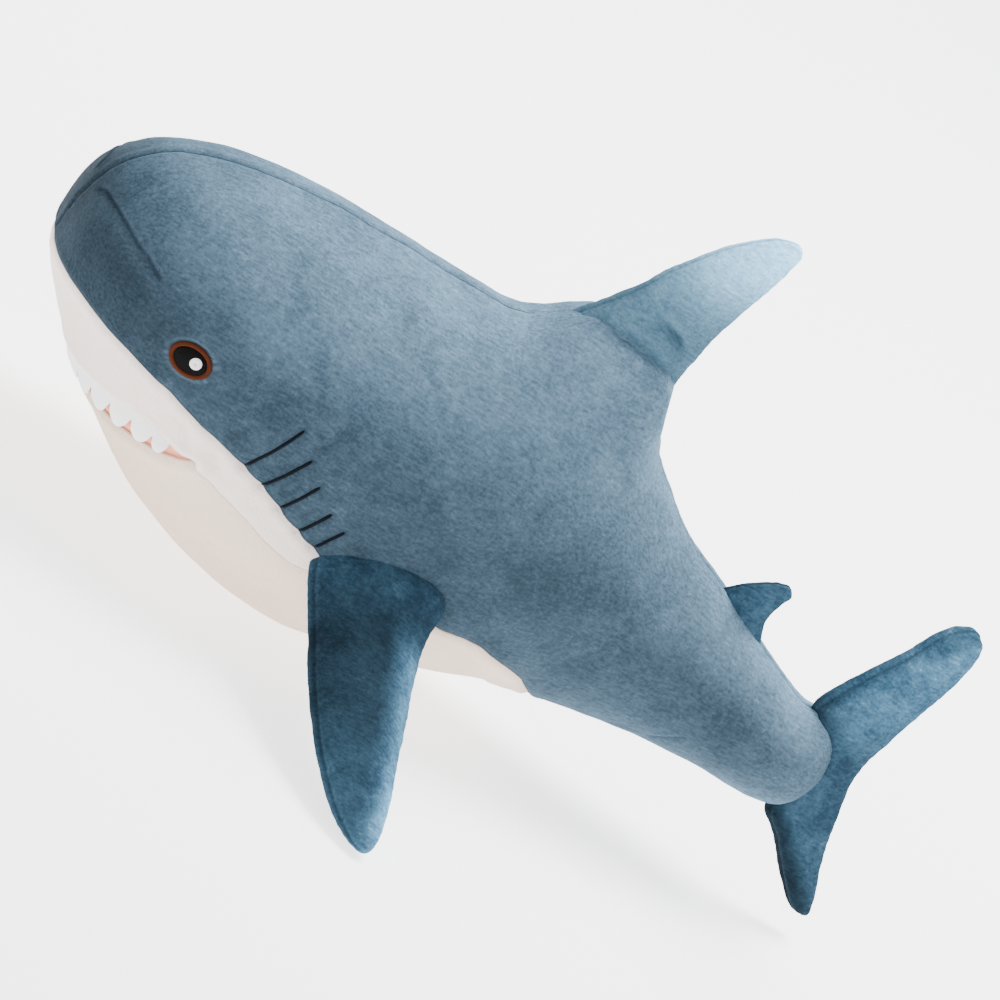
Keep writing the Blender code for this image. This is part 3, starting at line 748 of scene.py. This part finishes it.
t = tooth_t[:, None] + (toward_t - tooth_t)[:, None] * down
angle = lip_angle[:, None] + (toward_angle - lip_angle)[:, None] * down
t, angle = both_sides(t, angle)
down = np.vstack([down[:0:-1], down])
boxy = np.sign(np.sin(round_section)) * np.abs(np.sin(round_section)) ** 0.5
lift = -2.6 + 3.4 * np.clip(down / 0.5, 0, 1) + FELT_THICK / 2 * boxy
base, normal = body_surface(t, angle), body_normal(t, angle)
felt = settle(base + (lift + 0.3 * lumps(base, 14, 8))[..., None] * normal)
teeth = ring_piece("felt_teeth", felt, WHITE_FELT)

# %% [markdown]
# ## Embroidered eyes and gills
# Satin stitch stands about a millimetre above the pile. The ring and the gills are low rounded tubes
# laid on the skin; the pupil and its glint are lenses. Their UV maps carry the thread direction.

# %% Embroidery


def skin_at(x, z, side):
    """A point of the finished skin at this x and z, and its normal, on the left (-1) or right (1)."""
    t = t_at_x(x)
    angle = angle_at_height(t, z)
    points, normal, dark, halo = plush(t, angle if side < 0 else 180 - angle)
    return points, normal


def cord_on_skin(x, z, half_width, height, side, closed_path):
    """A tube on the skin: an ellipse in each section, spanned by the normal and the way across."""
    points, normal = skin_at(x, z, side)
    along = np.roll(points, -1, 0) - np.roll(points, 1, 0) if closed_path else np.gradient(points, axis=0)
    across = np.cross(along, normal)
    across /= np.linalg.norm(across, axis=1, keepdims=True)
    turn = np.linspace(0, 2 * np.pi, 14, endpoint=False)
    half_width = np.broadcast_to(half_width, x.shape)[:, None, None]
    height = np.broadcast_to(height, x.shape)[:, None, None]
    sideways = half_width * np.cos(turn)[:, None] * across[:, None]
    rings = points[:, None] + sideways + height * (0.25 + np.sin(turn))[:, None] * normal[:, None]
    arc = np.concatenate([[0], np.cumsum(np.linalg.norm(np.diff(points, axis=0), axis=1))])
    uv = np.stack(np.broadcast_arrays(arc[:, None] / 100, (turn / 6.28)[None, :]), -1)
    return rings, uv


def lens(x, z, radii, height, outset, side, dimple=0.0):
    """A lens on the skin: radius is the sine and height the cosine of an angle from front to back."""
    p = np.linspace(0.03, np.pi - 0.03, 26)[:, None]
    turn = np.linspace(0, 2 * np.pi, 48, endpoint=False)
    u, v = np.sin(p) * np.cos(turn), np.sin(p) * np.sin(turn)
    points, normal = skin_at(x + radii[0] * u, z + radii[1] * v, side)
    rise = outset + height * np.cos(p) - dimple * np.exp(-((np.sin(p) / 0.3) ** 2)) * (p < 1.5)
    uv = np.stack([radii[0] * u / 100, radii[1] * v / 100], -1)
    return points + (rise + 0 * u)[..., None] * normal, uv


stitched = []
for side, word in ((-1, "left"), (1, "right")):
    turn = np.linspace(0, 2 * np.pi, 120, endpoint=False)
    middle = (np.array(EYE_RADII) + PUPIL_RADII) / 2 - 0.4
    x, z = EYE_X + middle[0] * np.cos(turn), EYE_Z + middle[1] * np.sin(turn)
    wide = np.hypot(2.1 * np.cos(turn), 1.9 * np.sin(turn))
    rings, uv = cord_on_skin(x, z, wide, 1.5, side, True)
    ring = ring_piece("eye_ring_stitch_" + word, rings, RING_THREAD, uv=uv, closed_path=True)
    points, uv = lens(EYE_X, EYE_Z, PUPIL_RADII, 1.2, 0.8, side)
    pupil = ring_piece("eye_pupil_stitch_" + word, points, PUPIL_THREAD, uv=uv)
    points, uv = lens(EYE_X + 4.5, EYE_Z + 1, (4.8, 4.6), 0.8, 2.1, side, 1.1)
    glint = ring_piece("eye_highlight_stitch_" + word, points, GLINT_THREAD, uv=uv)
    stitched += [(ring, "eye_ring_" + word, "brown_thread"), (pupil, "eye_pupil_" + word, "black_thread"),
                 (glint, "eye_highlight_" + word, "white_thread")]
    for number, (x0, z0, x1, z1) in enumerate(GILLS, 1):
        along = np.linspace(0, 1, 46)
        blunt = np.clip(np.minimum(along / 0.08, (1 - along) / 0.05), 0.25, 1) ** 0.6
        x, z = x0 + (x1 - x0) * along, z0 + (z1 - z0) * along
        rings, uv = cord_on_skin(x, z, 1.25 * blunt, 1.1 * blunt, side, False)
        gill = ring_piece(f"gill_stitch_{word}_{number}", rings, GILL_THREAD, uv=uv)
        stitched.append((gill, f"gill_{word}_{number}", "dark_thread"))

# %% [markdown]
# ## Fins
# Each fin is two panels sewn round their edge and stuffed, so its section is a lens. The root is left
# open, stuffed with the body and sewn into it, which makes a thick collar. A fin is one closed surface
# through ribs from root to tip, and its root reaches inside the body.

# %% Fin surfaces


def fin_surface(ribs, place, rows, around):
    """Rings through the ribs: across a ring the chord goes as half of 1 minus the cosine of the turn, and
    the offset from the middle plane as the half thickness times the sine, to the power 1.1."""
    r = np.linspace(0, len(ribs) - 1, rows)
    values = spline(ribs, r)
    turn = np.linspace(0, 2 * np.pi, around, endpoint=False)
    chord = ((1 - np.cos(turn)) / 2)[:, None]
    flat = values[:, None, 0:2] * (1 - chord) + values[:, None, 2:4] * chord
    swell = np.sign(np.sin(turn)) * np.abs(np.sin(turn)) ** 1.1
    return place(flat, values[:, 4:5] * swell + values[:, 5:6])


def grid_normal(grid):
    """Cross product of the differences along and around the rings, turned away from each ring's middle."""
    along = np.gradient(grid, axis=0)
    around = np.roll(grid, -1, 1) - np.roll(grid, 1, 1)
    normal = np.cross(along, around)
    normal /= np.maximum(np.linalg.norm(normal, axis=-1, keepdims=True), 1e-9)
    outward = ((grid - grid.mean(1, keepdims=True)) * normal).sum()
    return normal * np.sign(outward)


def fin_piece(name, grid, seam_columns, folds, seed, tone, material):
    """Adds lumps, the edge seams and the folds to a fin, with painted shade in their grooves, then closes it."""
    normal = grid_normal(grid)
    height = 1.1 * lumps(grid, 38, seed) + 0.55 * lumps(grid, 17, seed + 1) + 0.2 * lumps(grid, 8, seed + 2)
    dark = np.zeros(grid.shape[:2])
    lines = [(evenly(grid[:, k]), 1.3, 2.0, False, 0.3, 0.5) for k in seam_columns]
    for fold in lines + folds:
        lift, shade = fold_at(grid, fold)
        height, dark = height + lift, np.maximum(dark, shade)
    points = settle(grid + height[..., None] * normal)
    return ring_piece(name, points, material, {"fold": dark, "rub": 0 * dark, "tone": tone(grid, normal)})


# %% Pectoral fins
PECTORAL_FRONT, PECTORAL_REAR = np.array((288.0, -121.0, -48.0)), np.array((398.0, -109.0, -30.0))
PECTORAL_SPAN = np.array((0.162, -0.910, -0.382))
# along the root, out from it, of the leading and the trailing edge, half thickness, lift
PECTORAL_RIBS = [
    (-46, -34, 46, -34, 20, 6), (-54, -14, 55, -14, 25, 7), (-57, 2, 57, 2, 25, 7), (-55, 20, 50, 20, 21, 4),
    (-51, 38, 46, 38, 19, 1), (-47, 60, 43, 60, 18.5, 0), (-40, 115, 40, 115, 17.5, 0), (-28, 168, 37, 168, 14.5, 0),
    (-12, 208, 34, 208, 10.5, 0), (0, 228, 31, 228, 7, 0), (9, 239, 27, 239, 4, 0), (18, 244, 20, 244, 0.3, 0),
]
root_middle = (PECTORAL_FRONT + PECTORAL_REAR) / 2
root_line = (PECTORAL_REAR - PECTORAL_FRONT) / np.linalg.norm(PECTORAL_REAR - PECTORAL_FRONT)
span = PECTORAL_SPAN - root_line * (PECTORAL_SPAN @ root_line)
span /= np.linalg.norm(span)
fin_up = np.cross(span, root_line)


def pectoral_place(flat, offset):
    return root_middle + flat[..., :1] * root_line + flat[..., 1:] * span + offset[..., None] * fin_up


pectoral = fin_surface(PECTORAL_RIBS, pectoral_place, 150, 120)


def pectoral_painted_light(points, normal):
    """In stops: dark pile over the blade, paler at the root and towards the tip, with a painted highlight along the
    trailing edge.
    """
    along = (points - root_middle * np.sign(-points[..., 1:2]) ** [0, 1, 0]) @ root_line
    out = np.abs(points[..., 1]) - 115
    pale = eased((along - 4) / 34) * eased((out - 20) / 45)
    return -0.85 + 2.9 * pale + 1.0 * eased((out - 100) / 90) + 1.3 * (1 - eased(out / 60))


pectoral_left = fin_piece("pectoral_cover_left", pectoral, (6, 60), [], 11, pectoral_painted_light, FIN_PLUSH)
pectoral_right = fin_piece("pectoral_cover_right", mirror(pectoral), (6, 60), [], 14, pectoral_painted_light, FIN_PLUSH)

# %% Dorsal fins
# x, z of the leading and the trailing edge, half thickness, lift
DORSAL_RIBS = [
    (338, 140, 488, 96, 30, 0), (346, 166, 480, 122, 29, 0), (354, 186, 469, 144, 24, 0), (362, 202, 461, 160, 19.5, 0),
    (370, 214, 458, 176, 17, 0), (385, 241, 457, 200, 15.5, 0), (399, 274, 458, 236, 13.5, 0), (416, 304, 463, 274, 10.5, 0),
    (438, 330, 469, 307, 7.5, 0), (450, 339, 471, 321, 5, 0), (460, 342, 472, 332, 3, 0), (466, 341, 470, 337, 0.5, 0),
]
REAR_DORSAL_RIBS = [
    (578, 52, 650, 34, 9, 0), (586, 68, 641, 50, 8, 0), (594, 79, 635, 62, 6.8, 0), (601, 86, 632, 70, 6.2, 0),
    (613, 97, 633, 84, 5.6, 0), (620, 102, 635, 91, 4.8, 0), (627, 104, 636.5, 96, 3.2, 0), (631.5, 103, 635, 99.5, 0.5, 0),
]


def upright(flat, offset):
    return np.stack([flat[..., 0], -offset, flat[..., 1]], -1)


def on_fin(points, y):
    return evenly([(x, y, z) for x, z in points])


# Creases on the dorsal fin; the last column is the darkness of the painted shade in each groove.
dorsal_folds = [
    (on_fin([(361, 209), (375, 213), (389, 213), (412, 211), (434, 206)], -19), 2.4, 3.2, True, 0, 0.9),
    (on_fin([(408, 233), (420, 232), (432, 229), (444, 221), (454, 207)], -14), 4.2, 4.4, True, 0, 1.0),
    (on_fin([(361, 209), (389, 213), (412, 211), (434, 206)], 19), 2.4, 3.2, True, 0, 0.9),
    (on_fin([(425, 236), (438, 230), (450, 224)], 13), 2.2, 3.4, True, 0, 0.7),
]


def dorsal_painted_tip_highlight(points, normal):
    """Painted highlight: the pile is made paler towards the tip."""
    return 0.4 + 2.6 * eased((points[..., 2] - 228) / 105)


def dark_tone(points, normal):
    """The rear fin's pile is one even tone."""
    return 0.6 + 0.0 * points[..., 0]


dorsal_grid = fin_surface(DORSAL_RIBS, upright, 150, 120)
rear_dorsal_grid = fin_surface(REAR_DORSAL_RIBS, upright, 60, 64)
dorsal = fin_piece("dorsal_cover", dorsal_grid, (4, 60), dorsal_folds, 21, dorsal_painted_tip_highlight, LIT_PALE_PLUSH)
rear_dorsal = fin_piece("rear_dorsal_cover", rear_dorsal_grid, (2, 32), [], 24, dark_tone, FIN_PLUSH)

# %% Tail fin
TAIL_RIBS = [
    (771, 154, 775, 150, 0.5, 0), (764, 157, 779, 146, 3.5, 0), (755, 154, 781, 131, 6.5, 0), (744, 142, 778, 104, 10, 0),
    (732, 112, 772, 76, 12.5, 0), (716, 76, 768, 48, 13.5, 0), (703, 39, 765, 26, 12.5, 0), (706, 24, 764, 14, 11, 0),
    (712, 11, 764, 5, 10.5, 0), (716, -4, 765, -4, 10, 0), (719, -26, 769, -18, 10, 0), (721, -46, 776, -38, 10.5, 0),
    (726, -60, 782, -56, 11, 0), (741, -71, 788, -71, 10.5, 0), (761, -91, 797, -90, 8.5, 0), (780, -109, 804, -106, 5.5, 0),
    (790, -116, 806, -113, 3, 0), (797, -117, 802, -117, 0.5, 0),
]


def tail_painted_light_and_shade(points, normal):
    """Painted light and shade: the upper lobe is painted pale as lit, less so along its leading edge, which is in
    painted shadow; the lower lobe is in painted shade, darkest at its front.
    """
    x, z = points[..., 0], points[..., 2]
    upper = eased((z - 5) / 70)
    from_front = x - np.interp(z, [-117, -71, -46, 39, 76, 112, 156], [795, 741, 712, 703, 716, 732, 767])
    upper_tone = 1.1 + 0.5 * eased((from_front - 6) / 10)
    lower_tone = -1.5 + 1.8 * eased((from_front - 6) / 24)
    return upper * upper_tone + (1 - upper) * lower_tone


tail = fin_piece("tail_cover", fin_surface(TAIL_RIBS, upright, 190, 110), (9, 55), [], 31, tail_painted_light_and_shade, FIN_PLUSH)

# %% [markdown]
# ## Riding
# The skin, mouth, eyes and gills ride on the body. A fin's collar is sewn to the body; here each fin is left where it
# is built, with its transform baked in, and its CAD pieces are hidden.

# %% Pieces onto bodies
for piece, nodes, slot in (
    (side_left, ("side_panel_left", "body_stuffing"), "blue_plush"),
    (side_right, ("side_panel_right",), "blue_plush"),
    (upper_jaw, ("upper_jaw_panel",), "white_plush"),
    (belly, ("belly_panel",), "white_plush"),
    (lining, ("mouth_lining",), "pink_lining"),
    (teeth, ("upper_teeth",), "white_felt"),
):
    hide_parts(*nodes)
    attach(piece, "body")
for piece, node, slot in stitched:
    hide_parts(node)
    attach(piece, "body")

root, reach = placed(root_middle), span * MM
dorsal_root, dorsal_up = placed((418, 0, 154.5)), np.array((0.3227, 0, 0.9465)) * MM
rear_root, rear_up = placed((612, 0, 64)), np.array((0.3846, 0, 0.9231)) * MM
for piece, prefix, names, start, end in (
    (pectoral_left, "pectoral_left", ("top_panel", "bottom_panel"), root + 2 * reach, root + 52 * reach),
    (pectoral_right, "pectoral_right", ("top_panel", "bottom_panel"), mirror(root + 2 * reach),
     mirror(root + 52 * reach)),
    (dorsal, "dorsal_fin", ("left_panel", "right_panel"), dorsal_root + 30 * dorsal_up,
     dorsal_root + 90 * dorsal_up),
    (rear_dorsal, "rear_dorsal_fin", ("left_panel", "right_panel"), rear_root + 2 * rear_up, rear_root + 18 * rear_up),
    (tail, "tail_fin", ("left_panel", "right_panel"), placed((716, 0, 0)), placed((762, 0, 0))),
):
    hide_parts(*[f"{prefix}_{part}" for part in (*names, "stuffing")])
    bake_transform(piece)

# %% [markdown]
# ## Studio
# A pale floor under a soft overhead light, a little towards the tail and the far side. The camera
# stands ahead of the shark's left side, looks slightly down, and is rolled so that the nose points up.

# %% Floor


def floor_material():
    """Matte studio paper: a roll of uncoated white paper, with a trace of fibre."""
    material, tree, shader = new_material("studio_paper_white")
    place = add(tree, "ShaderNodeTexCoord").outputs["Object"]
    fibre = add(tree, "ShaderNodeTexNoise", {"Vector": place, "Scale": 1 / (4 * MM), "Detail": 2.0})
    colour = add(tree, "ShaderNodeValToRGB", {"Fac": fibre.outputs["Fac"]})
    ramp_stops(colour, [(0.3, "#f4f4f4"), (0.7, "#f7f7f7")])
    tree.links.new(colour.outputs[0], shader.inputs["Base Color"])
    shader.inputs["Roughness"].default_value = 0.9
    shader.inputs["Emission Color"].default_value = linear("#ffffff")
    shader.inputs["Emission Strength"].default_value = 2.2
    return material


ground = bpy.data.meshes.new("studio_floor")
ground.from_pydata([(-6, -6, 0), (6, -6, 0), (6, 6, 0), (-6, 6, 0)], [], [(0, 1, 2, 3)])
ground.materials.append(floor_material())
floor = bpy.data.objects.new("studio_floor", ground)
bpy.context.scene.collection.objects.link(floor)

# %% Light


def soft_light(name, place, size, power, colour="#ffffff"):
    """A square area light that faces the middle of the shark."""
    lamp = bpy.data.lights.new(name, "AREA")
    lamp.size, lamp.energy, lamp.color = size, power, linear(colour)[:3]
    made = bpy.data.objects.new(name, lamp)
    made.location = place
    made.rotation_euler = (Vector((0, 0, 0.12)) - Vector(place)).to_track_quat("-Z", "Y").to_euler()
    bpy.context.scene.collection.objects.link(made)


soft_light("key_light", (0.7, 0.85, 2.2), 1.3, 165)
soft_light("front_fill", (-1.2, -2.4, 1.0), 1.8, 9)
world = bpy.data.worlds.new("studio_world")
bpy.context.scene.world = world
world.use_nodes = True
world.node_tree.nodes["Background"].inputs["Color"].default_value = linear("#f6f8fa")
world.node_tree.nodes["Background"].inputs["Strength"].default_value = 1.15

# %% Camera
AZIMUTH, ELEVATION, ROLL = np.radians((-17.0, 22.0, 39.73))
VIEW_WIDTH, VIEW_TARGET = 0.754, Vector((-0.0205, -0.0875, 0.2057))
toward = Vector((np.sin(AZIMUTH) * np.cos(ELEVATION), -np.cos(AZIMUTH) * np.cos(ELEVATION), np.sin(ELEVATION)))
level = Vector((np.cos(AZIMUTH), np.sin(AZIMUTH), 0))
above = toward.cross(level)
right = np.cos(ROLL) * level + np.sin(ROLL) * above
up = np.cos(ROLL) * above - np.sin(ROLL) * level
lens_data = bpy.data.cameras.new("camera")
lens_data.type = "ORTHO"
lens_data.ortho_scale = VIEW_WIDTH
camera = bpy.data.objects.new("camera", lens_data)
turned = Matrix((right, up, toward)).transposed().to_4x4()
camera.matrix_world = Matrix.Translation(VIEW_TARGET + 2.5 * toward) @ turned
bpy.context.scene.collection.objects.link(camera)
bpy.context.scene.camera = camera
